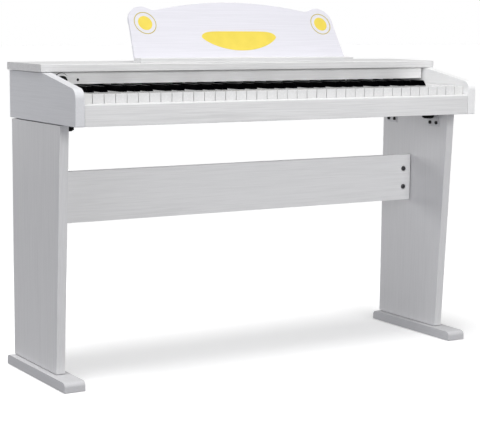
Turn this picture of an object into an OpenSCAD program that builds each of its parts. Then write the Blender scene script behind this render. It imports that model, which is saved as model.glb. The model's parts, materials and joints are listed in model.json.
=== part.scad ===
/* [Case] */
// Height of the lid's top face above the floor
lid_top_z = 605.5; // [600:0.5:612]
// Height of the case's underside above the floor
case_z = 497; // [495:0.5:499]
// Depth from the side panels' front edges to the lid's rear edge
case_d = 311; // [306:1:316]
// Thickness of the two side panels
side_t = 18.5; // [16:0.5:20]
// Depth of the side panels
side_d = 306; // [304:0.5:306]
// Height where the side panel's sloping edge would meet its front edge
slope_z = 564.5; // [562:0.5:566]
// Distance behind the front at which the sloping edge reaches the lid
slope_end = 141.5; // [138:0.5:145]
// Radius of the side panel's front corner
side_corner_r = 19; // [14:1:24]
// Thickness of the lid
lid_t = 15; // [14:0.5:16]
// Radius of the lid's front upper edge
lid_edge_r = 2; // [1.5:0.5:4]
// Depth of the lid
lid_d = 164; // [162:0.5:166]
// Overhang of the lid past each side panel
lid_over = 2.5; // [1:0.5:5]
// Thickness of the front rail and of the boards inside the case
board_t = 15; // [14:0.5:15]
// Distance of the front rail behind the side panels' front edges
rail_y = 1.5; // [1:0.5:2]
// Height of the front rail's top face
rail_top_z = 538; // [536:0.5:540]
// Distance of the control fascia behind the front
fascia_y = 159; // [157:0.5:161]
// Thickness of the control fascia
fascia_t = 12; // [10:0.5:12]

/* [Keys] */
// Spacing of the white keys
key_pitch = 23.5; // [23:0.1:24]
// Gap between neighbouring keys
key_gap = 1.4; // [1:0.1:1.5]
// Height of the white keys' top face
white_top_z = 555.5; // [554:0.5:556]
// Height of the black keys above the white keys
black_rise = 10.8; // [10:0.1:11.5]
// Distance of the white keys' front face behind the case front
key_front_y = 18.2; // [17.5:0.1:21]
// Length of the white key in front of the black keys
head_l = 50; // [48:0.5:52]
// Width of a black key at its foot
black_w = 13.4; // [12:0.1:14]
// Width of a black key at its top
black_top_w = 10.2; // [9.5:0.1:11]
// Wall thickness of the moulded keys
key_wall = 1.8; // [1.5:0.1:2]

/* [Music rest] */
// Lean of the music board from upright
rest_lean = 28.3; // [24:0.1:30]
// Thickness of the music board
rest_t = 6; // [5:0.5:6]
// Half width of the music board at its foot
rest_half_w = 253; // [245:1:260]
// Radius of the music board's two round upper corners
rest_ear_r = 34; // [30:1:36]
// Height of the middle of the board, measured along the board
rest_crown = 137.5; // [132:0.5:140]
// Depth of the ledge under the sheet music
ledge_d = 34; // [33:1:36]
// Thickness of the ledge
ledge_t = 9.5; // [8:0.5:10]

/* [Stand] */
// Thickness of the legs
leg_t = 18; // [16:0.5:18]
// Distance of the leg's front edge behind the case front, at its top
leg_top_y = 68; // [64:1:72]
// The same distance at the leg's foot
leg_foot_y = 93.5; // [90:0.5:97]
// Distance of the leg's rear edge behind the case front
leg_rear_y = 296.5; // [294:0.5:300]
// Width of the base runners
base_w = 42.6; // [40:0.2:46]
// Height of the base runners' top face
base_h = 20; // [18:0.5:22]
// Radius of the base runners' upper edges at both ends
base_edge_r = 9; // [6:0.5:12]
// Distances of the base runner's ends behind the case front
base_y = [29, 304.5];
// Heights of the modesty panel's lower and upper edge
panel_z = [294.5, 395.5];
// Distance of the modesty panel behind the case front
panel_y = 191.5; // [186:0.5:196]

/* [Hidden] */
$fn = 48;

// Case
white_count = 36;
block_clear = 0.5;
block_gap = 0.8;
inner_w = (white_count + 2) * key_pitch + 2 * block_clear;
case_w = inner_w + 2 * side_t;
lid_z = lid_top_z - lid_t;
lid_y = case_d - lid_d;
lid_gap = 1;
panel_top_z = lid_z - lid_gap;
bed_top_z = case_z + board_t;
rail_gap = 0.6;
back_t = 12;
back_y = side_d - back_t;
fascia_clear = 0.8;
fascia_gap = 3;
fascia_z = white_top_z + black_rise + fascia_clear;

// Keys, and the frame that they turn on
key_depth = 22;
key_bottom_z = white_top_z - key_depth;
key_top_t = 2.5;
black_front_y = key_front_y + head_l + key_gap / 2;
black_slope = 5.5;
black_rear_y = fascia_y + 11;
tail_z = white_top_z - 14.5;
tail_w = 9;
pivot_y = 248;
pivot_z = white_top_z - 15.5;
pivot_r = 3;
pivot_clear = 0.3;
pivot_block_l = 16;
key_rear_y = pivot_y + pivot_block_l / 2;
key_angle = 2.5;
frame_t = 3;
frame_z = bed_top_z + frame_t;
stop_y = key_front_y + 8;
stop_l = 31;
felt_t = 3;
key_drop = 10.2;
felt_top_z = key_bottom_z - key_drop;
guide_l = 5;
guide_clear = 0.7;
white_guide_y = key_front_y + 26;
white_guide_w = key_pitch - key_gap - 2 * key_wall - 2 * guide_clear;
black_guide_w = black_w - 2 * key_wall - 2 * guide_clear;
black_guide_y = black_front_y + 22;
pcb_t = 1.6;
contact_y = 165;
strip_t = 1.2;
dome_r = 4;
dome_h = 3;
dome_top_z = frame_z + pcb_t + strip_t + dome_h;
hammer_z = dome_top_z + (pivot_y - contact_y + 4) * sin(key_angle) + 0.5;
hammer_l = 8;
hammer_w = 4;

// Controls and sound
knob_x = -421.5;
knob_z = 574.5;
shaft_r = 3;
knob_r = 8.8;
knob_l = 10;
skirt_r = 13.5;
skirt_t = 2.5;
lens_x = -386.5;
lens_z = 575.3;
lens_r = 2.5;
control_board_y = fascia_y + fascia_t + 6;
shaft_y = fascia_y - knob_l + 2;
speaker_x = 300;
speaker_z = 549;
speaker_r = 30;
jack_plate_x = -150;
jack_z = 540;
plug_r = 3.25;
dc_r = 2.9;
jack_l = 22;
jack_x = [-185, -160, -122];
jack_bay = [94, 22];
plate_t = 2;

// Music rest
rest_y = 177;
ledge_z = lid_top_z;
ledge_y = 152;
ledge_w = 2 * rest_half_w + 2;
rest_taper = 0.085;
rest_ear_s = 92;
rest_ear_x = rest_half_w - rest_taper * rest_ear_s - rest_ear_r + 0.8;
rest_crown_r = 846;
rest_groove = 4;
rest_pin_x = 200;
rest_pin_r = 4;

// Stand
leg_gap = 2;
leg_top_z = case_z - leg_gap;
foot_line_h = 1.6;
foot_line_d = 3.5;
panel_gap = 2.4;
bracket_y = [114, 263];
bracket_w = 34;
bracket_t = 2;
bracket_l = 34;
bracket_drop = 33;
knob_reach = 17.2;
stud_r = 3;
screw_r = 2;
screw_drop = 25;
screw_pitch = 21;
cam_z = [323.5, 364];
cam_inset = 20.5;
cam_r = 4.8;
cam_rim = 1.6;
cam_rim_depth = 4;
cam_depth = 12;
dowel_r = 2.5;
panel_t = 15;
panel_mid = panel_y + panel_t / 2;
leg_inner = case_w / 2 - leg_t;
leg_mid = case_w / 2 - leg_t / 2;
glide_t = 1;
glide_r = 10;
foot_screw_y = [130, 250];
foot_screw_r = 3.4;
bore_clear = 0.06;

// Distances behind the case front turn into row coordinates here
module place() {
    translate([0, -case_d / 2, 0])
        children();
}

// A side view in (distance behind the front, height), extruded w wide from x
module across(x, w) {
    translate([x, 0, 0])
        rotate([90, 0, 90])
            linear_extrude(w)
                children();
}

// A box between two corners
module box(low, high) {
    translate(low)
        cube(high - low);
}

// A cylinder along X, from x to x + l
module rod_x(p, r, l) {
    translate(p)
        rotate([0, 90, 0])
            cylinder(h = l, r = r);
}

// A cylinder along Y, from y to y + l
module rod_y(p, r, l) {
    translate(p)
        rotate([-90, 0, 0])
            cylinder(h = l, r = r);
}

function arc(c, r, from, to, n = 12) =
    [for (i = [0:n]) c + r * [cos(from + (to - from) * i / n), sin(from + (to - from) * i / n)]];

// Outline of a rectangle with its corner radii: lower front, lower rear, upper rear, upper front
function bar(low, high, r) = concat(
    arc([low.x + r[0], low.y + r[0]], r[0], 180, 270, 6),
    arc([high.x - r[1], low.y + r[1]], r[1], 270, 360, 6),
    arc([high.x - r[2], high.y - r[2]], r[2], 0, 90, 6),
    arc([low.x + r[3], high.y - r[3]], r[3], 90, 180, 6)
);

// Copies its children as they are and mirrored to the other end
module both_ends() {
    children();
    mirror([1, 0, 0])
        children();
}

// ---- Case ----

module side_panel(x) {
    slope = atan((panel_top_z - slope_z) / slope_end);
    centre = [side_corner_r, slope_z + side_corner_r * (tan(slope) - 1 / cos(slope))];
    foot_r = 2;
    color("gainsboro")
        place()
            across(x, side_t)
                polygon(concat(
                    arc([foot_r, case_z + foot_r], foot_r, 270, 180, 4),
                    arc(centre, side_corner_r, 180, 90 + slope),
                    [[slope_end, panel_top_z], [side_d, panel_top_z], [side_d, case_z]]
                ));
}

module side_panel_left() {
    side_panel(-case_w / 2);
}

module side_panel_right() {
    side_panel(case_w / 2 - side_t);
}

module lid() {
    edge_r = 1.5;
    w = case_w + 2 * lid_over;
    color("white")
        place()
            difference() {
                across(-w / 2, w)
                    polygon(bar([lid_y, lid_z], [case_d, lid_top_z], [edge_r, edge_r, edge_r, lid_edge_r]));
                rest_pins(rest_pin_r + bore_clear);
                case_screw_set(screw_r + bore_clear);
            }
}

module front_rail() {
    color("gainsboro")
        place()
            across(rail_gap - inner_w / 2, inner_w - 2 * rail_gap)
                polygon(concat(
                    [[rail_y, case_z]],
                    arc([rail_y + 3.5, rail_top_z - 3.5], 3.5, 180, 90, 6),
                    arc([rail_y + board_t - 2, rail_top_z - 2], 2, 90, 0, 4),
                    [[rail_y + board_t, case_z]]
                ));
}

module fascia() {
    color("gainsboro")
        place()
            difference() {
                box(
                    [fascia_gap - inner_w / 2, fascia_y, fascia_z],
                    [inner_w / 2 - fascia_gap, fascia_y + fascia_t, panel_top_z]
                );
                rod_y([knob_x, fascia_y - 1, knob_z], shaft_r + 1, fascia_t + 2);
                rod_y([lens_x, fascia_y - 1, lens_z], lens_r + bore_clear, fascia_t + 2);
            }
}

module key_bed() {
    color("tan")
        place()
            difference() {
                box([-inner_w / 2, rail_y + board_t, case_z], [inner_w / 2, back_y, bed_top_z]);
                bracket_studs(stud_r + bore_clear);
            }
}

module back_panel() {
    color("gainsboro")
        place()
            difference() {
                box([-inner_w / 2, back_y, case_z], [inner_w / 2, side_d, lid_z]);
                for (x = [-speaker_x, speaker_x])
                    rod_y([x, back_y - 1, speaker_z], speaker_r, back_t + 2);
                box(
                    [jack_plate_x - jack_bay.x / 2, back_y - 1, jack_z - jack_bay.y / 2],
                    [jack_plate_x + jack_bay.x / 2, side_d + 1, jack_z + jack_bay.y / 2]
                );
            }
}

module end_blocks() {
    x = inner_w / 2 - block_clear - key_pitch + key_gap / 2;
    w = key_pitch - key_gap / 2 - block_gap;
    rear = fascia_y + 8;
    color("whitesmoke")
        place()
            both_ends()
                difference() {
                    box([x, key_front_y, frame_z], [x + w, rear, white_top_z]);
                    box(
                        [x + key_wall, key_front_y + key_wall, frame_z - 1],
                        [x + w - key_wall, rear - key_wall, white_top_z - key_top_t]
                    );
                }
}

module case_screw_set(r) {
    both_ends()
        for (y = [195, 275])
            translate([inner_w / 2 - 10, y, lid_z - 16])
                cylinder(h = 24, r = r);
}

module corner_blocks() {
    s = 20;
    fascia_rear = fascia_y + fascia_t;
    color("white")
        place()
            difference() {
                union() {
                    both_ends()
                        for (y = [195, 275])
                            box([inner_w / 2 - s, y - s / 2, lid_z - s], [inner_w / 2, y + s / 2, lid_z]);
                    for (x = [-220, 0, 220])
                        box([x - s / 2, fascia_rear, lid_z - s + 2], [x + s / 2, fascia_rear + s, lid_z]);
                }
                case_screw_set(screw_r + bore_clear);
                both_ends()
                    for (y = [195, 275])
                        translate([inner_w / 2 - 10, y, lid_z - s - 1])
                            cylinder(h = 5.1, r = 4);
            }
}

module case_screws() {
    color("silver")
        place() {
            case_screw_set(screw_r);
            both_ends()
                for (y = [195, 275])
                    translate([inner_w / 2 - 10, y, lid_z - 18])
                        cylinder(h = 2.1, r = 3.8);
        }
}

// ---- Keys ----

// Left edge of white key number k, counted from 0
function white_x(k) = (k - white_count / 2) * key_pitch;

// How far each black key sits from the gap between its two white keys, for C, D, E, F, G, A and B
black_shift = [-2.6, 2.6, 0, -4.2, 0, 4.2, 0];
function has_black(k) = k >= 0 && k < white_count - 1 && (k % 7) != 2 && (k % 7) != 6;
function black_x(k) = white_x(k + 1) + black_shift[k % 7];

// Edges of a white key's narrow part, beside the black keys
function tail_left(k) =
    has_black(k - 1) ? black_x(k - 1) + black_w / 2 + key_gap : white_x(k) + key_gap / 2;
function tail_right(k) =
    has_black(k) ? black_x(k) - black_w / 2 - key_gap : white_x(k + 1) - key_gap / 2;
function tail_mid(k) = (tail_left(k) + tail_right(k)) / 2;

// The post under a key that presses its rubber dome
module hammer(x) {
    box(
        [x - hammer_w / 2, contact_y - hammer_l / 2, hammer_z],
        [x + hammer_w / 2, contact_y + hammer_l / 2, white_top_z - key_top_t + 0.5]
    );
}

module white_key(k) {
    left = white_x(k) + key_gap / 2;
    right = white_x(k + 1) - key_gap / 2;
    head_end = key_front_y + head_l - key_gap / 2;
    hollow_top = white_top_z - key_top_t;
    block_y = pivot_y - pivot_block_l / 2;
    difference() {
        union() {
            box([left, key_front_y, key_bottom_z], [right, head_end, white_top_z]);
            box([tail_left(k), head_end - 1, tail_z], [tail_right(k), key_rear_y, white_top_z]);
        }
        box(
            [left + key_wall, key_front_y + key_wall, key_bottom_z - 1],
            [right - key_wall, head_end - key_wall, hollow_top]
        );
        box(
            [tail_left(k) + key_wall, head_end, tail_z - 1],
            [tail_right(k) - key_wall, block_y, hollow_top]
        );
        box(
            [left - 1, block_y, tail_z - 1],
            [right + 1, key_rear_y + 1, pivot_z + pivot_r + pivot_clear]
        );
    }
    hammer(tail_mid(k));
}

module black_key(k) {
    top_z = white_top_z + black_rise;
    block_y = pivot_y - pivot_block_l / 2;
    translate([black_x(k), 0, 0]) {
        difference() {
            intersection() {
                across(-black_w / 2, black_w)
                    polygon([
                        [black_front_y, tail_z],
                        [black_front_y, white_top_z],
                        [black_front_y + black_slope, top_z - 2],
                        [black_front_y + black_slope + 2.5, top_z],
                        [black_rear_y, top_z],
                        [black_rear_y, tail_z]
                    ]);
                translate([0, black_rear_y, 0])
                    rotate([90, 0, 0])
                        linear_extrude(black_rear_y)
                            polygon([
                                [-black_w / 2, tail_z],
                                [-black_w / 2, white_top_z],
                                [-black_top_w / 2, top_z],
                                [black_top_w / 2, top_z],
                                [black_w / 2, white_top_z],
                                [black_w / 2, tail_z]
                            ]);
            }
            box(
                [key_wall - black_w / 2, black_front_y + key_wall, tail_z - 1],
                [black_w / 2 - key_wall, black_rear_y - key_wall, white_top_z + 2]
            );
        }
        difference() {
            box([-tail_w / 2, black_rear_y - 0.5, tail_z], [tail_w / 2, key_rear_y, white_top_z]);
            box(
                [-tail_w, block_y, tail_z - 1],
                [tail_w, key_rear_y + 1, pivot_z + pivot_r + pivot_clear]
            );
        }
        box(
            [-hammer_w / 2, contact_y - hammer_l / 2, hammer_z],
            [hammer_w / 2, black_rear_y - key_wall + 0.5, white_top_z + 3]
        );
    }
}

// White keys first to last
module white_keys(first, last) {
    color("white")
        place()
            for (k = [first:last])
                white_key(k);
}

// Black keys whose left neighbours are the white keys first to last
module black_keys(first, last) {
    color([0.05, 0.05, 0.05])
        place()
            for (k = [first:last])
                if (has_black(k))
                    black_key(k);
}

module key_frame() {
    half = inner_w / 2 - block_clear;
    first = white_x(0);
    last = white_x(white_count);
    stop_top = felt_top_z - felt_t;
    color("dimgray")
        place() {
            box([-half, rail_y + board_t + 2, bed_top_z], [half, key_rear_y + 4, frame_z]);
            box([first, stop_y, frame_z - 0.5], [last, stop_y + stop_l, stop_top]);
            box([first, black_guide_y - 4, frame_z - 0.5], [last, black_guide_y + 9, stop_top]);
            box([first, pivot_y - pivot_r, frame_z - 0.5], [last, pivot_y + pivot_r, pivot_z]);
            rod_x([first, pivot_y, pivot_z], pivot_r, last - first);
            for (k = [0:white_count - 1])
                guide((white_x(k) + white_x(k + 1)) / 2, white_guide_w, white_guide_y, white_top_z - 13);
            for (k = [0:white_count - 2])
                if (has_black(k))
                    guide(black_x(k), black_guide_w, black_guide_y, white_top_z - 8);
        }
}

// A post that stands inside a key and keeps it from swaying
module guide(x, w, y, top) {
    box([x - w / 2, y, felt_top_z - felt_t - 0.5], [x + w / 2, y + guide_l, top]);
}

module key_felts() {
    color("firebrick")
        place()
            for (y = [stop_y, white_guide_y + guide_l + 1])
                box([white_x(0), y, felt_top_z - felt_t], [white_x(white_count), y + 7, felt_top_z]);
}

module contact_boards() {
    color("seagreen")
        place()
            for (side = [-1, 1])
                box(
                    [min(side, 0) * 420 + 1, contact_y - 16, frame_z],
                    [max(side, 0) * 420 - 1, contact_y + 16, frame_z + pcb_t]
                );
}

module contact_strips() {
    z = frame_z + pcb_t;
    color("darkgray")
        place() {
            for (side = [-1, 1])
                box(
                    [min(side, 0) * 416 + 1, contact_y - 9, z],
                    [max(side, 0) * 416 - 1, contact_y + 9, z + strip_t]
                );
            for (k = [0:white_count - 1])
                dome(tail_mid(k), z);
            for (k = [0:white_count - 2])
                if (has_black(k))
                    dome(black_x(k), z);
        }
}

module dome(x, z) {
    translate([x, contact_y, z])
        cylinder(h = strip_t + dome_h, r1 = dome_r, r2 = dome_r - 1.2);
}

module white_keys_octave_2() {
    white_keys(0, 6);
}

module black_keys_octave_2() {
    black_keys(0, 6);
}

module white_keys_octave_3() {
    white_keys(7, 13);
}

module black_keys_octave_3() {
    black_keys(7, 13);
}

module key_c4() {
    white_keys(14, 14);
}

module key_c_sharp_4() {
    black_keys(14, 14);
}

module key_d4() {
    white_keys(15, 15);
}

module key_d_sharp_4() {
    black_keys(15, 15);
}

module key_e4() {
    white_keys(16, 16);
}

module key_f4() {
    white_keys(17, 17);
}

module key_f_sharp_4() {
    black_keys(17, 17);
}

module key_g4() {
    white_keys(18, 18);
}

module key_g_sharp_4() {
    black_keys(18, 18);
}

module key_a4() {
    white_keys(19, 19);
}

module key_a_sharp_4() {
    black_keys(19, 19);
}

module key_b4() {
    white_keys(20, 20);
}

module white_keys_octave_5() {
    white_keys(21, 27);
}

module black_keys_octave_5() {
    black_keys(21, 27);
}

// The top octave, with the keyboard's last C
module white_keys_octave_6() {
    white_keys(28, 35);
}

module black_keys_octave_6() {
    black_keys(28, 34);
}

// ---- Controls and sound ----

module main_board() {
    y = back_y + back_t - jack_l - pcb_t;
    color("seagreen")
        place()
            box([jack_plate_x - 60, y, bed_top_z], [jack_plate_x + 60, y + pcb_t, jack_z + 26]);
}

module control_board() {
    color("seagreen")
        place()
            difference() {
                box(
                    [knob_x - 16, control_board_y, lid_z - 25],
                    [lens_x + 14, control_board_y + pcb_t, lid_z - 1]
                );
                rod_y([knob_x, control_board_y - 1, knob_z], shaft_r + 0.5, pcb_t + 2);
            }
}

module pot_body() {
    color("silver")
        place()
            difference() {
                box([knob_x - 7, fascia_y + fascia_t, knob_z - 7], [knob_x + 7, control_board_y, knob_z + 7]);
                rod_y([knob_x, fascia_y, knob_z], shaft_r + bore_clear, fascia_t + 10);
            }
}

module pot_shaft() {
    color("silver")
        place()
            rod_y([knob_x, shaft_y, knob_z], shaft_r, control_board_y - shaft_y);
}

module volume_knob() {
    ribs = 24;
    color([0.05, 0.05, 0.05])
        place()
            difference() {
                rod_y([knob_x, fascia_y - knob_l, knob_z], knob_r, knob_l - skirt_t - 0.5);
                rod_y([knob_x, shaft_y, knob_z], shaft_r, knob_l);
                for (i = [0:ribs - 1])
                    translate([knob_x, fascia_y - knob_l - 1, knob_z])
                        rotate([0, i * 360 / ribs, 0])
                            translate([knob_r + 0.2, 0, 0])
                                rod_y([0, 3, 0], 0.5, knob_l);
            }
}

module knob_skirt() {
    color("white")
        place()
            difference() {
                rod_y([knob_x, fascia_y - skirt_t - 0.5, knob_z], skirt_r, skirt_t);
                rod_y([knob_x, shaft_y, knob_z], shaft_r, knob_l);
            }
}

module status_lens() {
    color([0.05, 0.05, 0.05])
        place()
            rod_y([lens_x, fascia_y - 0.6, lens_z], lens_r, fascia_t + 0.4);
}

module speakers() {
    flange_t = 3;
    basket_l = 16;
    magnet_l = 8;
    color("dimgray")
        place()
            for (x = [-speaker_x, speaker_x])
                translate([x, back_y - flange_t, speaker_z])
                    rotate([90, 0, 0])
                        difference() {
                            union() {
                                translate([0, 0, -flange_t])
                                    cylinder(h = flange_t, r = speaker_r + 4);
                                cylinder(h = basket_l, r1 = speaker_r, r2 = 18);
                                translate([0, 0, basket_l])
                                    cylinder(h = magnet_l, r = 18);
                            }
                            translate([0, 0, -flange_t - 1])
                                cylinder(h = flange_t + 1.01, r = speaker_r - 3);
                            cylinder(h = basket_l - 2, r1 = speaker_r - 3, r2 = 15);
                        }
}

module speaker_cones() {
    cone_l = 10;
    color([0.1, 0.1, 0.1])
        place()
            for (x = [-speaker_x, speaker_x])
                translate([x, back_y - 3, speaker_z])
                    rotate([90, 0, 0]) {
                        difference() {
                            cylinder(h = cone_l, r1 = speaker_r - 3.2, r2 = 9);
                            translate([0, 0, -0.01])
                                cylinder(h = cone_l - 1, r1 = speaker_r - 4.2, r2 = 8.5);
                        }
                        translate([0, 0, cone_l - 1])
                            cylinder(h = 5, r = 7);
                    }
}

module speaker_grilles() {
    hole_r = 1.8;
    color([0.1, 0.1, 0.1])
        place()
            for (x = [-speaker_x, speaker_x])
                difference() {
                    rod_y([x, side_d, speaker_z], speaker_r + 5, plate_t);
                    for (ring = [0:4])
                        for (i = [0:max(6 * ring - 1, 0)])
                            translate([x, side_d - 1, speaker_z])
                                rotate([0, i * 60 / max(ring, 1), 0])
                                    rod_y([ring * 5.8, 0, 0], hole_r, plate_t + 2);
                }
}

module jack_plate() {
    color([0.1, 0.1, 0.1])
        place()
            difference() {
                box(
                    [jack_plate_x - jack_bay.x / 2 - 3, side_d, jack_z - jack_bay.y / 2 - 4],
                    [jack_plate_x + jack_bay.x / 2 + 3, side_d + plate_t, jack_z + jack_bay.y / 2 + 4]
                );
                for (i = [0:1])
                    rod_y([jack_x[i], side_d - 1, jack_z], plug_r, plate_t + 2);
                rod_y([jack_x[2], side_d - 1, jack_z], dc_r, plate_t + 2);
            }
}

module jacks() {
    y = side_d - jack_l;
    color([0.2, 0.2, 0.2])
        place() {
            for (i = [0:1])
                difference() {
                    box([jack_x[i] - 8, y, jack_z - 8], [jack_x[i] + 8, side_d, jack_z + 8]);
                    rod_y([jack_x[i], y + 2, jack_z], plug_r, jack_l);
                }
            difference() {
                box([jack_x[2] - 5.5, y, jack_z - 5.5], [jack_x[2] + 5.5, side_d, jack_z + 5.5]);
                rod_y([jack_x[2], side_d - 12, jack_z], dc_r, 13);
            }
            rod_y([jack_x[2], side_d - 12.5, jack_z], 1, 11);
        }
}

// ---- Music rest ----

module rest_pins(r) {
    both_ends()
        translate([rest_pin_x, ledge_y + 12, lid_top_z - 9])
            cylinder(h = 15, r = r);
}

// Half of the board's height profile: the crown's arc, as a height along the board at x
function crown(x) = rest_crown - rest_crown_r + sqrt(rest_crown_r * rest_crown_r - x * x);

// The music board's outline, with x across and y up along the board
module rest_outline() {
    foot = (ledge_z + ledge_t - rest_groove - lid_top_z) / cos(rest_lean);
    ear_top = rest_ear_s + rest_ear_r;
    blend = 25;
    offset(r = -blend)
        offset(delta = blend)
            union() {
                polygon(concat(
                    [[-rest_half_w, foot]],
                    [[rest_taper * rest_ear_s - rest_half_w, rest_ear_s]],
                    [for (x = [-200:20:200]) [x, crown(x)]],
                    [[rest_half_w - rest_taper * rest_ear_s, rest_ear_s]],
                    [[rest_half_w, foot]]
                ));
                for (x = [-rest_ear_x, rest_ear_x])
                    translate([x, rest_ear_s])
                        circle(r = rest_ear_r);
            }
}

module music_board() {
    color("white")
        place()
            translate([0, rest_y, lid_top_z])
                rotate([90 - rest_lean, 0, 0])
                    translate([0, 0, -rest_t])
                        linear_extrude(rest_t)
                            rest_outline();
}

module music_ledge() {
    edge_r = 1.5;
    slot_d = ledge_z + ledge_t - rest_groove - lid_top_z;
    color("gainsboro")
        place()
            difference() {
                across(-ledge_w / 2, ledge_w)
                    polygon(bar(
                        [ledge_y, ledge_z],
                        [ledge_y + ledge_d, ledge_z + ledge_t],
                        [edge_r, edge_r, edge_r, edge_r]
                    ));
                translate([0, rest_y, lid_top_z])
                    rotate([90 - rest_lean, 0, 0])
                        box(
                            [-ledge_w, slot_d / cos(rest_lean), -rest_t - 0.05],
                            [ledge_w, 4 * ledge_t, 0.05]
                        );
                rest_pins(rest_pin_r + bore_clear);
            }
}

module music_rest_pins() {
    color("tan")
        place()
            rest_pins(rest_pin_r);
}

// ---- Stand ----

// A leg, set back at its foot so that a shadow line shows above the base
module leg(x) {
    color("gainsboro")
        place()
            difference() {
                union() {
                    across(x, leg_t)
                        polygon([
                            [leg_top_y, leg_top_z],
                            [leg_foot_y, base_h + foot_line_h],
                            [leg_rear_y, base_h + foot_line_h],
                            [leg_rear_y, leg_top_z]
                        ]);
                    box(
                        [x + foot_line_d, leg_foot_y + foot_line_d, base_h],
                        [x + leg_t - foot_line_d, leg_rear_y - foot_line_d, base_h + foot_line_h + 1]
                    );
                }
                bracket_screw_set(screw_r + bore_clear, 0);
                stand_screw_set(bore_clear);
            }
}

module leg_left() {
    leg(-case_w / 2);
}

module leg_right() {
    leg(case_w / 2 - leg_t);
}

module base(x) {
    color("gainsboro")
        place()
            difference() {
                across(x - base_w / 2, base_w)
                    polygon(concat(
                        [[base_y[0], glide_t]],
                        arc([base_y[0] + base_edge_r, base_h - base_edge_r], base_edge_r, 180, 90),
                        arc([base_y[1] - base_edge_r, base_h - base_edge_r], base_edge_r, 90, 0),
                        [[base_y[1], glide_t]]
                    ));
                stand_screw_set(bore_clear);
            }
}

module base_left() {
    base(-leg_mid);
}

module base_right() {
    base(leg_mid);
}

module modesty_panel() {
    color("gainsboro")
        place()
            difference() {
                box(
                    [panel_gap - leg_inner, panel_y, panel_z[0]],
                    [leg_inner - panel_gap, panel_y + panel_t, panel_z[1]]
                );
                stand_screw_set(bore_clear);
                both_ends()
                    for (z = cam_z) {
                        rod_y([leg_inner - cam_inset, panel_y - 1, z], cam_r + bore_clear, cam_depth + 1.2);
                        rod_y([leg_inner - cam_inset, panel_y - 1, z], cam_r + cam_rim, cam_rim_depth + 1);
                    }
            }
}

module bracket_studs(r) {
    both_ends()
        for (y = bracket_y)
            translate([leg_inner - knob_reach, y, case_z - bracket_t - 8])
                cylinder(h = bracket_t + 20, r = r);
}

module bracket_screw_set(r, head_r) {
    both_ends()
        for (y = bracket_y)
            for (dy = [-screw_pitch / 2, screw_pitch / 2]) {
                rod_x([leg_inner - bracket_t - 0.5, y + dy, case_z - screw_drop], r, bracket_t + 13);
                if (head_r > 0)
                    rod_x([leg_inner - bracket_t - 2.4, y + dy, case_z - screw_drop], head_r, 2.4);
            }
}

module brackets() {
    color("lightgray")
        place()
            difference() {
                both_ends()
                    for (y = bracket_y) {
                        box(
                            [leg_inner - bracket_l, y - bracket_w / 2, case_z - bracket_t],
                            [leg_inner, y + bracket_w / 2, case_z]
                        );
                        box(
                            [leg_inner - bracket_t, y - bracket_w / 2, case_z - bracket_drop],
                            [leg_inner, y + bracket_w / 2, case_z - bracket_t + 1]
                        );
                    }
                bracket_studs(stud_r + bore_clear);
                bracket_screw_set(screw_r + bore_clear, 0);
            }
}

module bracket_screws() {
    color([0.1, 0.1, 0.1])
        place()
            bracket_screw_set(screw_r, 3.6);
}

module bracket_knobs() {
    head_r = 13;
    head_h = 6;
    rim_h = 2;
    neck_h = 5.5;
    grips = 10;
    color([0.05, 0.05, 0.05])
        place() {
            bracket_studs(stud_r);
            both_ends()
                for (y = bracket_y)
                    translate([leg_inner - knob_reach, y, case_z - bracket_t - neck_h]) {
                        cylinder(h = neck_h, r = 7);
                        translate([0, 0, -head_h - rim_h])
                            cylinder(h = rim_h, r1 = head_r - 4, r2 = head_r - 1.5);
                        difference() {
                            translate([0, 0, -head_h])
                                cylinder(h = head_h, r = head_r);
                            for (i = [0:grips - 1])
                                rotate(i * 360 / grips)
                                    translate([head_r + 1, 0, -head_h - 1])
                                        cylinder(h = head_h + 2, r = 2.4);
                        }
                    }
        }
}

module panel_cams() {
    color("silver")
        place()
            both_ends()
                for (z = cam_z)
                    difference() {
                        rod_y([leg_inner - cam_inset, panel_y - 0.5, z], cam_r, cam_depth);
                        rod_x([leg_inner - cam_inset, panel_mid, z], dowel_r + bore_clear, cam_inset);
                        for (turn = [0, 90])
                            translate([leg_inner - cam_inset, panel_y - 1, z])
                                rotate([0, turn, 0])
                                    box([-2.8, 0, -0.6], [2.8, 2.5, 0.6]);
                    }
}

// The cam dowels that join the legs to the modesty panel, and the screws from the bases into the legs
module stand_screw_set(clear) {
    both_ends() {
        for (z = cam_z)
            rod_x([leg_inner - cam_inset + 2, panel_mid, z], dowel_r + clear, cam_inset + 10);
        for (y = foot_screw_y)
            translate([leg_mid, y, glide_t]) {
                translate([0, 0, -clear])
                    cylinder(h = 4 + 2 * clear, r = 6 + clear);
                cylinder(h = 50, r = foot_screw_r + clear);
            }
    }
}

module stand_screws() {
    color("silver")
        place()
            stand_screw_set(0);
}

module base_glides() {
    color("dimgray")
        place()
            both_ends()
                for (y = [base_y[0] + 22, base_y[1] - 22])
                    translate([leg_mid, y, 0])
                        cylinder(h = glide_t, r = glide_r);
}

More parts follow.
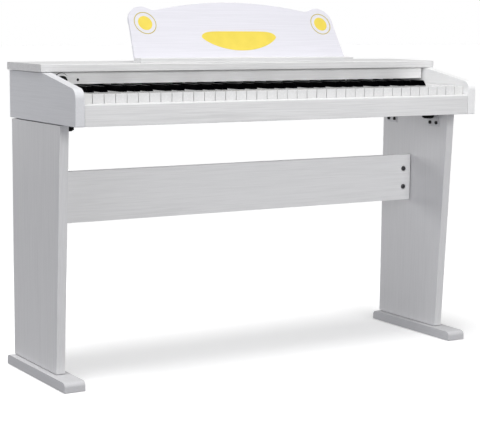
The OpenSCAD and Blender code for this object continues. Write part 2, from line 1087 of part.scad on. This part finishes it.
side_panel_left();
side_panel_right();
lid();
front_rail();
fascia();
key_bed();
back_panel();
end_blocks();
corner_blocks();
case_screws();
key_frame();
key_felts();
contact_boards();
contact_strips();
main_board();
control_board();
pot_body();
pot_shaft();
volume_knob();
knob_skirt();
status_lens();
speakers();
speaker_cones();
speaker_grilles();
jack_plate();
jacks();
music_board();
music_ledge();
music_rest_pins();
leg_left();
leg_right();
base_left();
base_right();
modesty_panel();
brackets();
bracket_screws();
bracket_knobs();
panel_cams();
stand_screws();
base_glides();
white_keys_octave_2();
black_keys_octave_2();
white_keys_octave_3();
black_keys_octave_3();
key_c4();
key_c_sharp_4();
key_d4();
key_d_sharp_4();
key_e4();
key_f4();
key_f_sharp_4();
key_g4();
key_g_sharp_4();
key_a4();
key_a_sharp_4();
key_b4();
white_keys_octave_5();
black_keys_octave_5();
white_keys_octave_6();
black_keys_octave_6();
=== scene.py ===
import json
import math

import bmesh
import bpy
from mathutils import Matrix, Vector


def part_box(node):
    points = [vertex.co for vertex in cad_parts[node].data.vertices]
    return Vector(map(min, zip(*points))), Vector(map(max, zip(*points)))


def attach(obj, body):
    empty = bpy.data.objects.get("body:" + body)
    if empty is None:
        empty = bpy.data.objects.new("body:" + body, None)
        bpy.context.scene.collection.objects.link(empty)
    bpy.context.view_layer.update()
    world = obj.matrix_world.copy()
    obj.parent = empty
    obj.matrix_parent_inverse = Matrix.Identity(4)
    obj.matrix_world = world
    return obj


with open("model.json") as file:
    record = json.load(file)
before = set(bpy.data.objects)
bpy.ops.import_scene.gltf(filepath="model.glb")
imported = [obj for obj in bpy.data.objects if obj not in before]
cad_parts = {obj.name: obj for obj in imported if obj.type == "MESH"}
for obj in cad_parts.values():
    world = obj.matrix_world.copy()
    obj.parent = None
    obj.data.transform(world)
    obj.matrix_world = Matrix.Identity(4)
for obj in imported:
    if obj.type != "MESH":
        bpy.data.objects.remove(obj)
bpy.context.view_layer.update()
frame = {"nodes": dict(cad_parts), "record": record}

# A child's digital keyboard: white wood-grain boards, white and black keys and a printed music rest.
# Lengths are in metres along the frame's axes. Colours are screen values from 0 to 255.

scene = bpy.context.scene
nodes = frame["nodes"]

ALONG_X, ALONG_Y, ALONG_Z = 0, 1, 2


# ---------------------------------------------------------------- materials

# Pattern cells per metre: across and along the grain where a material has one
GRAIN_ACROSS, GRAIN_ALONG = 420.0, 9.0
FIGURE_ACROSS, FIGURE_ALONG = GRAIN_ACROSS / 7, GRAIN_ALONG / 3
BRUSH_ACROSS, BRUSH_ALONG = 2500.0, 60.0
FLECK_ACROSS, FLECK_ALONG = 700.0, 50.0
CLOUD = 35.0
WEAR = 220.0
MOULD_TEXTURE = 1800.0
FIBRES = 900.0
TRACKS = 260.0

EMBOSS = 0.027  # a laminate's bump strength for each level of its contrast
BRUSH_CONTRAST = 22


def srgb(colour):
    """A colour given as screen values, as the linear RGBA that shaders take."""
    def linear(v):
        v /= 255
        return v / 12.92 if v <= 0.04045 else ((v + 0.055) / 1.055) ** 2.4
    return (*[linear(v) for v in colour], 1.0)


def darker(colour, step):
    """The same colour, darker by a step in each screen value."""
    return [max(v - step, 0) for v in colour]


def shaded(colour, share):
    """The same colour, at a share of its screen values."""
    return [int(v * share) for v in colour]


class Nodes:
    """Short calls for building one material's node tree."""

    def __init__(self, name):
        self.material = bpy.data.materials.new(name)
        self.material.use_nodes = True
        self.tree = self.material.node_tree
        self.shader = self.tree.nodes["Principled BSDF"]

    def fill(self, node, values):
        """Sets sockets by name, where an underscore stands for a space."""
        for key, value in values.items():
            node.inputs[key.replace("_", " ")].default_value = value

    def add(self, kind, **values):
        node = self.tree.nodes.new(kind)
        self.fill(node, values)
        return node

    def set(self, **values):
        self.fill(self.shader, values)

    def link(self, source, target):
        self.tree.links.new(source, target)

    def coordinates(self, across, axis=ALONG_X, along=None):
        """Object coordinates scaled by across, or by along on the one axis that is given with it."""
        scale = [across] * 3
        if along is not None:
            scale[axis] = along
        place = self.add("ShaderNodeTexCoord")
        mapping = self.add("ShaderNodeMapping", Scale=scale)
        self.link(place.outputs["Object"], mapping.inputs["Vector"])
        return mapping.outputs["Vector"]

    def noise(self, vector, detail=2.0, roughness=0.5, distortion=0.0):
        node = self.add("ShaderNodeTexNoise", Scale=1.0, Detail=detail, Roughness=roughness,
                        Distortion=distortion)
        self.link(vector, node.inputs["Vector"])
        return node.outputs["Fac"]

    def remap(self, value, low, high, to_low, to_high):
        node = self.add("ShaderNodeMapRange", From_Min=low, From_Max=high, To_Min=to_low, To_Max=to_high)
        self.link(value, node.inputs["Value"])
        return node.outputs["Result"]

    def multiply(self, value, factor):
        """The product of a socket and a number or a second socket."""
        node = self.add("ShaderNodeMath")
        node.operation = "MULTIPLY"
        self.link(value, node.inputs[0])
        if isinstance(factor, float):
            node.inputs[1].default_value = factor
        else:
            self.link(factor, node.inputs[1])
        return node.outputs[0]

    def mix(self, factor, start, end):
        """A blend of two linear colours."""
        node = self.add("ShaderNodeMix")
        node.data_type = "RGBA"
        self.link(factor, node.inputs["Factor"])
        node.inputs[6].default_value = start
        node.inputs[7].default_value = end
        return node.outputs[2]

    def paint(self, factor, light, dark):
        """The base colour: light where the factor is 0 and dark where it is 1."""
        self.link(self.mix(factor, srgb(light), srgb(dark)), self.shader.inputs["Base Color"])

    def gloss(self, pattern, low, high):
        """A roughness between low and high that follows a pattern."""
        self.link(self.remap(pattern, 0.3, 0.7, low, high), self.shader.inputs["Roughness"])

    def bump(self, height, strength, distance):
        node = self.add("ShaderNodeBump", Strength=strength, Distance=distance)
        self.link(height, node.inputs["Height"])
        self.link(node.outputs["Normal"], self.shader.inputs["Normal"])


def laminate(name, axis, contrast, tint):
    """White foil with an embossed open wood grain that runs along one axis."""
    m = Nodes(name)
    pores = m.noise(m.coordinates(GRAIN_ACROSS, axis, GRAIN_ALONG), detail=3.0, roughness=0.6,
                    distortion=0.3)
    figure = m.noise(m.coordinates(FIGURE_ACROSS, axis, FIGURE_ALONG), distortion=0.8)
    streak = m.multiply(m.remap(pores, 0.38, 0.62, 0.0, 1.0), m.remap(figure, 0.3, 0.7, 0.45, 1.0))
    m.paint(streak, tint, darker(tint, contrast))
    m.gloss(pores, 0.42, 0.58)
    m.bump(m.multiply(streak, -1.0), EMBOSS * contrast, 0.0002)
    m.set(Specular_IOR_Level=0.45)
    return m.material


def plastic(name, colour, roughness, grain=0.0, coat=0.0, speck=6, shine=0.5):
    """Moulded plastic: a faint unevenness of colour and gloss, and a fine texture where grain is given."""
    m = Nodes(name)
    cloud = m.noise(m.coordinates(CLOUD))
    m.paint(m.remap(cloud, 0.35, 0.65, 0.0, 1.0), colour, darker(colour, speck))
    m.gloss(m.noise(m.coordinates(WEAR), detail=3.0), roughness - 0.04, roughness + 0.05)
    m.bump(m.noise(m.coordinates(MOULD_TEXTURE), detail=1.0), 0.04 + grain, 0.0001)
    m.set(Coat_Weight=coat, Coat_Roughness=0.08, Specular_IOR_Level=shine)
    return m.material


def metal(name, colour, roughness, axis=ALONG_Z):
    """Drawn or plated metal with a fine directional brushing."""
    m = Nodes(name)
    brush = m.noise(m.coordinates(BRUSH_ACROSS, axis, BRUSH_ALONG))
    m.paint(m.remap(brush, 0.3, 0.7, 0.0, 1.0), colour, darker(colour, BRUSH_CONTRAST))
    m.gloss(brush, roughness - 0.07, roughness + 0.08)
    m.bump(brush, 0.08, 0.00005)
    m.set(Metallic=1.0)
    return m.material


def felt(name, colour):
    """Pressed felt: matted fibres that catch the light at a low angle."""
    m = Nodes(name)
    fibres = m.noise(m.coordinates(FIBRES), detail=4.0, roughness=0.7, distortion=1.5)
    m.paint(m.remap(fibres, 0.35, 0.65, 0.0, 1.0), colour, shaded(colour, 0.7))
    m.bump(fibres, 0.6, 0.0004)
    m.set(Roughness=0.95, Sheen_Weight=0.4, Sheen_Roughness=0.5)
    return m.material


def timber(name, colour, axis):
    """Plain beech: short dark flecks along the grain."""
    m = Nodes(name)
    grain = m.noise(m.coordinates(FLECK_ACROSS, axis, FLECK_ALONG), detail=3.0, distortion=0.6)
    m.paint(m.remap(grain, 0.35, 0.7, 0.0, 1.0), colour, shaded(colour, 0.75))
    m.bump(grain, 0.3, 0.0002)
    m.set(Roughness=0.6)
    return m.material


def circuit_board(name, mask, track):
    """Solder mask with paler copper tracks under it."""
    m = Nodes(name)
    cells = m.add("ShaderNodeTexVoronoi", Scale=1.0)
    cells.feature = "DISTANCE_TO_EDGE"
    cells.distance = "MANHATTAN"
    m.link(m.coordinates(TRACKS), cells.inputs["Vector"])
    edge = m.remap(cells.outputs["Distance"], 0.02, 0.06, 1.0, 0.0)
    m.paint(edge, mask, track)
    m.bump(edge, 0.3, 0.00005)
    m.set(Roughness=0.35, Coat_Weight=0.4, Coat_Roughness=0.15)
    return m.material


MATERIALS = {
    "board_x": laminate("white_laminate_across", ALONG_X, 15, (237, 237, 237)),
    # Painted light: the fascia and the modesty panel get a lighter copy of the white laminate, to make up
    # for the shade under the lid and the key bed.
    "painted_light_board": laminate("white_laminate_painted_light", ALONG_X, 9, (249, 249, 249)),
    "rest_board": laminate("white_laminate_rest", ALONG_X, 6, (228, 227, 234)),
    "board_y": laminate("white_laminate_deep", ALONG_Y, 5, (230, 231, 234)),
    "board_z": laminate("white_laminate_upright", ALONG_Z, 6, (230, 230, 231)),
    # Painted shade: the bases get a darker copy of the deep laminate, which darkens them in place of
    # shade.
    "shaded_base_board": laminate("white_laminate_base_shaded", ALONG_Y, 5, (214, 214, 216)),
    # Painted light: the right side panel gets a lighter copy of the deep laminate, lighter than the left
    # panel to stand in for light falling on its inner face.
    "painted_light_panel": laminate("white_laminate_right_painted_light", ALONG_Y, 5, (250, 250, 250)),
    "white_key": plastic("white_key_plastic", (236, 236, 236), 0.25, coat=0.4, speck=4),
    "black_key": plastic("black_key_plastic", (3, 3, 4), 0.32, speck=2, shine=0.008),
    "end_block": plastic("end_block_plastic", (233, 233, 232), 0.3, coat=0.2, speck=5),
    "white_plastic": plastic("white_plastic", (232, 232, 232), 0.42, grain=0.15),
    # Painted light: the knob's skirt is a whiter copy of the white plastic, to make up for the lid's shade
    # on it.
    "bright_plastic": plastic("knob_skirt_painted_light", (252, 252, 252), 0.3, coat=0.3, speck=3),
    "black_plastic": plastic("black_plastic", (9, 9, 10), 0.48, grain=0.25, speck=4, shine=0.15),
    "black_gloss": plastic("black_gloss_plastic", (3, 3, 4), 0.12, coat=0.15, speck=2, shine=0.1),
    "frame_plastic": plastic("frame_plastic", (92, 93, 97), 0.55, grain=0.2),
    "glide_plastic": plastic("glide_plastic", (70, 70, 72), 0.6, grain=0.2),
    "rubber": plastic("dome_rubber", (120, 121, 124), 0.75, grain=0.3),
    "felt": felt("red_felt", (126, 26, 30)),
    "pcb": circuit_board("circuit_board", mask=(22, 92, 52), track=(58, 136, 78)),
    "steel": metal("plated_steel", (186, 188, 192), 0.34),
    "zinc": metal("bright_zinc", (120, 120, 122), 0.2, ALONG_Y),
    "speaker_metal": plastic("speaker_paint", (30, 30, 32), 0.4, grain=0.1),
    "paper": felt("speaker_paper", (28, 28, 29)),
    "white_metal": plastic("bracket_powder_coat", (214, 214, 216), 0.5, grain=0.35),
    "black_metal": plastic("black_oxide", (6, 6, 7), 0.42, grain=0.15, speck=3, shine=0.12),
    "beech": timber("plain_beech", (196, 160, 112), ALONG_Z),
    "yellow_print": plastic("yellow_print", (242, 219, 90), 0.38, coat=0.2, speck=5),
    "ring_print": plastic("ring_print", (196, 178, 40), 0.38, coat=0.2, speck=5),
    # Painted shadow: a dark grey for the ring behind the knob's skirt, which stands in for the shadow line
    # around the skirt.
    "painted_shadow_ring": plastic("painted_shadow_ring", (66, 66, 70), 0.7, grain=0.2, speck=4, shine=0.2),
}


# ---------------------------------------------------------------- CAD nodes

NODE_LOOKS = {
    "painted_light_board": ["fascia", "modesty_panel"],
    "board_x": ["lid", "front_rail", "key_bed", "back_panel", "music_ledge"],
    "rest_board": ["music_board"],
    "board_y": ["side_panel_left"],
    "painted_light_panel": ["side_panel_right"],
    "shaded_base_board": ["base_left", "base_right"],
    "board_z": ["leg_left", "leg_right"],
    "end_block": ["end_blocks"],
    "white_plastic": ["corner_blocks"],
    "bright_plastic": ["knob_skirt"],
    "steel": ["case_screws", "pot_body", "pot_shaft", "stand_screws"],
    "frame_plastic": ["key_frame"],
    "felt": ["key_felts"],
    "pcb": ["contact_boards", "main_board", "control_board"],
    "rubber": ["contact_strips"],
    "black_plastic": ["volume_knob", "speaker_grilles", "jack_plate", "jacks", "bracket_knobs"],
    "black_gloss": ["status_lens"],
    "speaker_metal": ["speakers"],
    "paper": ["speaker_cones"],
    "beech": ["music_rest_pins"],
    "white_metal": ["brackets"],
    "black_metal": ["bracket_screws"],
    "zinc": ["panel_cams"],
    "glide_plastic": ["base_glides"],
}
NOT_KEYS = ("key_bed", "key_frame", "key_felts")

# The width of the rounding on the edges of each look that has one
EDGE_ROUND = {
    "board_x": 0.0009,
    "painted_light_board": 0.0009,
    "rest_board": 0.0009,
    "board_y": 0.0009,
    "board_z": 0.0009,
    "painted_light_panel": 0.0009,
    "black_key": 0.0009,
    "white_key": 0.0007,
    "end_block": 0.0007,
    "shaded_base_board": 0.0006,
    "white_plastic": 0.0004,
    "white_metal": 0.0004,
}
WELD_WITHIN = 0.00001
FLAT_WITHIN = math.radians(0.5)
SHARP_FROM = math.radians(40)


def round_edges(obj, width):
    """Softens a CAD node's sharp edges with modifiers, and leaves its mesh as it is."""
    weld = obj.modifiers.new("weld", "WELD")
    weld.merge_threshold = WELD_WITHIN
    flat = obj.modifiers.new("flat_faces", "DECIMATE")
    flat.decimate_type = "DISSOLVE"
    flat.angle_limit = FLAT_WITHIN
    bevel = obj.modifiers.new("round", "BEVEL")
    bevel.width = width
    bevel.segments = 3
    bevel.limit_method = "ANGLE"
    bevel.angle_limit = SHARP_FROM
    bevel.harden_normals = False
    bevel.miter_outer = "MITER_SHARP"


def dress(node, look):
    """Gives a CAD node its material and, where its look has them, its rounded edges."""
    obj = nodes[node]
    obj.data.materials.clear()
    obj.data.materials.append(MATERIALS[look])
    if look in EDGE_ROUND:
        round_edges(obj, EDGE_ROUND[look])


for look, names in NODE_LOOKS.items():
    for name in names:
        dress(name, look)

for name in nodes:
    if "key" in name and name not in NOT_KEYS:
        dress(name, "black_key" if "black" in name or "sharp" in name else "white_key")


# ---------------------------------------------------------------- meshes

TURNS = 64  # sides of a round outline


def wall(mesh, lower, upper):
    """Joins two closed loops of as many vertices with a band of faces."""
    for i in range(len(lower)):
        j = (i + 1) % len(lower)
        mesh.faces.new((lower[i], lower[j], upper[j], upper[i]))


def circle(x, y, r, count=TURNS):
    """The outline of a circle."""
    angles = [2 * math.pi * i / count for i in range(count)]
    return [(x + r * math.cos(a), y + r * math.sin(a)) for a in angles]


def piece(name, mesh, look, body):
    """Makes an object of a bmesh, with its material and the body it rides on."""
    bmesh.ops.recalc_face_normals(mesh, faces=mesh.faces)
    data = bpy.data.meshes.new(name)
    mesh.to_mesh(data)
    mesh.free()
    data.materials.append(MATERIALS[look])
    obj = bpy.data.objects.new(name, data)
    scene.collection.objects.link(obj)
    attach(obj, body)


# ---------------------------------------------------------------- printed motif on the music board

REST_LEAN = math.radians(28.3)  # the music board's lean back from upright
REST_T = 0.006
PRINT_T = 0.0002
PRINT_GAP = 0.1 * PRINT_T  # between the print's back face and the board

MOTIF_X = 0.0016  # the motif's middle
ROUND_X = 0.212  # from there to the middle of a disc
ROUND_Y = 0.0820
RING_OUTER_R = 0.0246
RING_INNER_R = 0.0230
DISC_R = 0.0156
BELLY_POWER = 0.75  # 0.5 would be half an ellipse, and 1 a parabola
TOP_POWER = 7  # 2 would be half an ellipse, and a higher power is flatter


def board_frame():
    """The music board's front face: x across, y up the board from its foot, z out of the board."""
    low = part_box("music_board")[0]
    foot = Vector((0, low.y, low.z + REST_T * math.sin(REST_LEAN)))
    up = Vector((0, math.sin(REST_LEAN), math.cos(REST_LEAN)))
    out = Vector((0, -math.cos(REST_LEAN), math.sin(REST_LEAN)))
    turn = Matrix((Vector((1, 0, 0)), up, out)).transposed().to_4x4()
    return Matrix.Translation(foot) @ turn


BOARD = board_frame()


def printed(name, ink, outer, inner=None):
    """A thin printed shape on the music board, from outlines in the board's own x and y."""
    mesh = bmesh.new()
    rims = [[mesh.verts.new((x, y, PRINT_T)) for x, y in outline] for outline in (outer, inner) if outline]
    if inner:
        wall(mesh, *rims)
    else:
        mesh.faces.new(rims[0])
    made = bmesh.ops.extrude_face_region(mesh, geom=list(mesh.faces))
    back = [v for v in made["geom"] if isinstance(v, bmesh.types.BMVert)]
    bmesh.ops.translate(mesh, verts=back, vec=(0, 0, PRINT_GAP - PRINT_T))
    bmesh.ops.transform(mesh, matrix=BOARD, verts=mesh.verts)
    piece(name, mesh, ink, "case")


def half_moon(centre_x, half_w, tip_y, top_y, foot_y, count=48):
    """A lens with a nearly flat top, a deep round belly and rounded tips."""
    points = []
    for i in range(count + 1):
        x = -math.cos(math.pi * i / count)
        points.append((centre_x + half_w * x, tip_y - (tip_y - foot_y) * (1 - x ** 2) ** BELLY_POWER))
    for i in range(1, count):
        x = math.cos(math.pi * i / count)
        points.append((centre_x + half_w * x, tip_y + (top_y - tip_y) * (1 - abs(x) ** TOP_POWER) ** 0.5))
    return points


for side, label in ((-1, "left"), (1, "right")):
    x = MOTIF_X + side * ROUND_X
    printed(f"round_ring_{label}", "ring_print", circle(x, ROUND_Y, RING_OUTER_R),
            circle(x, ROUND_Y, RING_INNER_R))
    printed(f"round_disc_{label}", "yellow_print", circle(x, ROUND_Y, DISC_R))
printed("half_moon", "yellow_print",
        half_moon(MOTIF_X, half_w=0.0895, tip_y=0.0505, top_y=0.0640, foot_y=0.0200))


# ---------------------------------------------------------------- small turned parts

SEAT = 0.00005  # gap between an added part and the wall that it sits on

# The dark ring behind the knob's skirt, a painted shadow around the skirt's rim
SHADOW_RING_HALF_T = 0.00015
SHADOW_RING_INSIDE = 0.0010  # how far the dark ring reaches in behind the skirt's rim
SHADOW_RING_OUTSIDE = 0.0010  # and out past it, at its front
SHADOW_RING_FLARE = 0.0003  # how much further it reaches at its back

NUT_INNER_R = 0.00345  # clears the sockets' 6.5 mm bores
NUT_OUTER_R = 0.0056
NUT_T = 0.0014
NUT_BEVEL = 0.0004  # of the outer edge
NUT_MOUTH = 0.0005  # bevel of the inner edge, which leads a plug in

HEAD_R = 0.0034
HEAD_T = 0.0011
HEAD_TURNS = 32
HEAD_PROFILE = ((1.0, 0.0), (1.0, 0.35), (0.86, 0.75), (0.64, 1.0))  # shares of the radius and the height
RECESS_TOP = (0.52, 0.13)  # the cross's arm and half its width, as shares of the head's radius
RECESS_FOOT = (0.46, 0.10)  # the same at its floor
RECESS_FLOOR = 0.3  # the floor's place, as a share of the head's height

SCREWS_PER_EDGE = 6
SCREW_INSET_X = 0.03
SCREW_INSET_Z = 0.008


def turned_ring(mesh, centre, profile):
    """A ring around an axis along Y, from a closed profile of radius and distance along Y."""
    rings = []
    for i in range(TURNS):
        a = 2 * math.pi * i / TURNS
        spots = [(r * math.cos(a), y, r * math.sin(a)) for r, y in profile]
        rings.append([mesh.verts.new(Vector(centre) + Vector(spot)) for spot in spots])
    for i in range(TURNS):
        wall(mesh, rings[i], rings[(i + 1) % TURNS])


def knob_shadow_ring():
    """A thin dark ring between the knob's skirt and the fascia, which turns with the knob: painted shadow
    that stands in for the shade line around the skirt's rim.
    """
    low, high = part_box("knob_skirt")
    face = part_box("fascia")[0].y
    skirt_r = (high.z - low.z) / 2
    centre = ((low.x + high.x) / 2, (high.y + face) / 2, (low.z + high.z) / 2)
    outer_r = skirt_r + SHADOW_RING_OUTSIDE
    inner_r = skirt_r - SHADOW_RING_INSIDE
    profile = [(inner_r, -SHADOW_RING_HALF_T), (outer_r, -SHADOW_RING_HALF_T), (outer_r + SHADOW_RING_FLARE, SHADOW_RING_HALF_T),
               (inner_r, SHADOW_RING_HALF_T)]
    mesh = bmesh.new()
    turned_ring(mesh, centre, profile)
    piece("knob_shadow_ring", mesh, "painted_shadow_ring", "volume_control")


def socket_nuts():
    """The round nuts that hold the headphone and pedal sockets in the jack plate."""
    wall_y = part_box("jack_plate")[1].y
    profile = [(NUT_INNER_R, 0.0), (NUT_OUTER_R, 0.0), (NUT_OUTER_R, NUT_T - NUT_BEVEL),
               (NUT_OUTER_R - NUT_BEVEL, NUT_T), (NUT_INNER_R + NUT_MOUTH, NUT_T),
               (NUT_INNER_R, NUT_T - NUT_MOUTH)]
    mesh = bmesh.new()
    for mount in frame["record"]["mounts"]:
        if mount["kind"] == "bore":
            turned_ring(mesh, (mount["pos_m"][0], wall_y + SEAT, mount["pos_m"][2]), profile)
    piece("socket_nuts", mesh, "steel", "case")


def cross(arm, half_w):
    """The outline of a cross recess, as x and z."""
    quarter = [(arm, -half_w), (arm, half_w), (half_w, half_w)]
    points = []
    for c, s in ((1, 0), (0, 1), (-1, 0), (0, -1)):
        points += [(x * c - z * s, x * s + z * c) for x, z in quarter]
    return points


def screw_head(mesh, centre):
    """A low domed head on a wall that faces +Y, with a cross recess."""
    def loop(points, share):
        y = centre[1] + HEAD_T * share
        return [mesh.verts.new((centre[0] + x, y, centre[2] + z)) for x, z in points]

    def recess(arm, half_w, share):
        return loop(cross(HEAD_R * arm, HEAD_R * half_w), share)

    rims = [loop(circle(0, 0, HEAD_R * r, HEAD_TURNS), share) for r, share in HEAD_PROFILE]
    for lower, upper in zip(rims, rims[1:]):
        wall(mesh, lower, upper)
    mesh.faces.new(rims[0])
    recess_top = recess(*RECESS_TOP, 1.0)
    recess_foot = recess(*RECESS_FOOT, RECESS_FLOOR)
    edges = []
    for ring in (rims[-1], recess_top):
        for i in range(len(ring)):
            ends = (ring[i], ring[(i + 1) % len(ring)])
            edges.append(mesh.edges.get(ends) or mesh.edges.new(ends))
    bmesh.ops.triangle_fill(mesh, use_beauty=True, use_dissolve=False, edges=edges)
    wall(mesh, recess_top, recess_foot)
    mesh.faces.new(recess_foot)


def back_panel_screws():
    """Screws along the back panel's upper and lower edges."""
    low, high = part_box("back_panel")
    run = high.x - low.x - 2 * SCREW_INSET_X
    mesh = bmesh.new()
    for i in range(SCREWS_PER_EDGE):
        x = low.x + SCREW_INSET_X + run * i / (SCREWS_PER_EDGE - 1)
        for z in (low.z + SCREW_INSET_Z, high.z - SCREW_INSET_Z):
            screw_head(mesh, (x, high.y + SEAT, z))
    piece("back_panel_screws", mesh, "steel", "case")


knob_shadow_ring()
socket_nuts()
back_panel_screws()


# ---------------------------------------------------------------- floor, light and camera

WHITE = (1.0, 1.0, 1.0)
FLOOR_HALF_W = 30.0
FLOOR_SEEN = (0.98, 0.98, 0.98, 1.0)  # what the camera sees
FLOOR_BOUNCE = (0.37, 0.37, 0.385, 1.0)  # what the floor throws back on the keyboard
FLOOR_GLOW = 0.21  # brings the floor that the camera sees up to a white background


def stage_floor():
    """A pale floor that fades into the white background."""
    mesh = bmesh.new()
    bmesh.ops.create_grid(mesh, x_segments=1, y_segments=1, size=FLOOR_HALF_W)
    data = bpy.data.meshes.new("floor")
    mesh.to_mesh(data)
    mesh.free()
    floor = bpy.data.objects.new("floor", data)
    scene.collection.objects.link(floor)
    m = Nodes("pale_floor")
    seen = m.add("ShaderNodeLightPath").outputs["Is Camera Ray"]
    m.link(m.mix(seen, FLOOR_BOUNCE, FLOOR_SEEN), m.shader.inputs["Base Color"])
    m.link(m.multiply(seen, FLOOR_GLOW), m.shader.inputs["Emission Strength"])
    m.set(Roughness=0.9, Specular_IOR_Level=0.0, Emission_Color=(*WHITE, 1.0))
    data.materials.append(m.material)


def studio_sky(strength):
    """An even white sky of the given strength, which the camera sees as plain white."""
    world = bpy.data.worlds.new("studio")
    scene.world = world
    world.use_nodes = True
    tree = world.node_tree
    background = tree.nodes["Background"]
    background.inputs["Color"].default_value = (*WHITE, 1.0)
    path = tree.nodes.new("ShaderNodeLightPath")
    mix = tree.nodes.new("ShaderNodeMix")
    mix.inputs[2].default_value = strength
    mix.inputs[3].default_value = 1.0
    tree.links.new(path.outputs["Is Camera Ray"], mix.inputs[0])
    tree.links.new(mix.outputs[0], background.inputs["Strength"])


def sun(name, strength, spread, direction, colour=WHITE):
    """A soft light whose rays travel along direction, with a spread in degrees."""
    data = bpy.data.lights.new(name, "SUN")
    data.energy = strength
    data.color = colour
    data.angle = math.radians(spread)
    lamp = bpy.data.objects.new(name, data)
    lamp.rotation_euler = Vector(direction).to_track_quat("-Z", "Y").to_euler()
    scene.collection.objects.link(lamp)


def softbox(name, power, width, depth, place, aim):
    """A rectangular light at place that faces the point aim."""
    data = bpy.data.lights.new(name, "AREA")
    data.shape = "RECTANGLE"
    data.size = width
    data.size_y = depth
    data.energy = power
    lamp = bpy.data.objects.new(name, data)
    lamp.location = place
    lamp.rotation_euler = (Vector(aim) - Vector(place)).to_track_quat("-Z", "Y").to_euler()
    scene.collection.objects.link(lamp)


def photographer(place, turn, tilt, roll, lens):
    """A camera that looks along +Y, turned to its left, tilted up and rolled by the degrees given."""
    data = bpy.data.cameras.new("camera")
    data.lens = lens
    data.sensor_width = 36.0
    data.clip_end = 100.0
    camera = bpy.data.objects.new("camera", data)
    camera.matrix_world = (
        Matrix.Translation(place)
        @ Matrix.Rotation(math.radians(turn), 4, "Z")
        @ Matrix.Rotation(math.radians(tilt), 4, "X")
        @ Matrix.Rotation(math.radians(roll), 4, "Y")
        @ Matrix.Rotation(math.radians(90), 4, "X")
    )
    scene.collection.objects.link(camera)
    scene.camera = camera


stage_floor()
studio_sky(strength=0.33)
sun("top_light", strength=1.5, spread=26, direction=(0.22, 0.14, -1.0))
sun("side_light", strength=0.5, spread=40, direction=(0.85, 0.4, -0.12), colour=(0.92, 0.93, 1.0))
softbox("front", power=16.8, width=1.0, depth=0.8, place=(0.3, -2.2, 1.2), aim=(0.0, -0.1, 0.5))
softbox("overhead", power=2.6, width=0.8, depth=0.5, place=(-0.3, -0.5, 1.55), aim=(0.1, -0.02, 0.55))
softbox("back_fill", power=2.7, width=0.6, depth=0.4, place=(-0.35, 0.9, 0.55), aim=(0.45, 0.08, 0.42))
photographer(place=(-1.56458, -2.52821, 0.69507), turn=-31.374, tilt=-7.815, roll=-0.511, lens=108.535)
scene.view_settings.view_transform = "Standard"
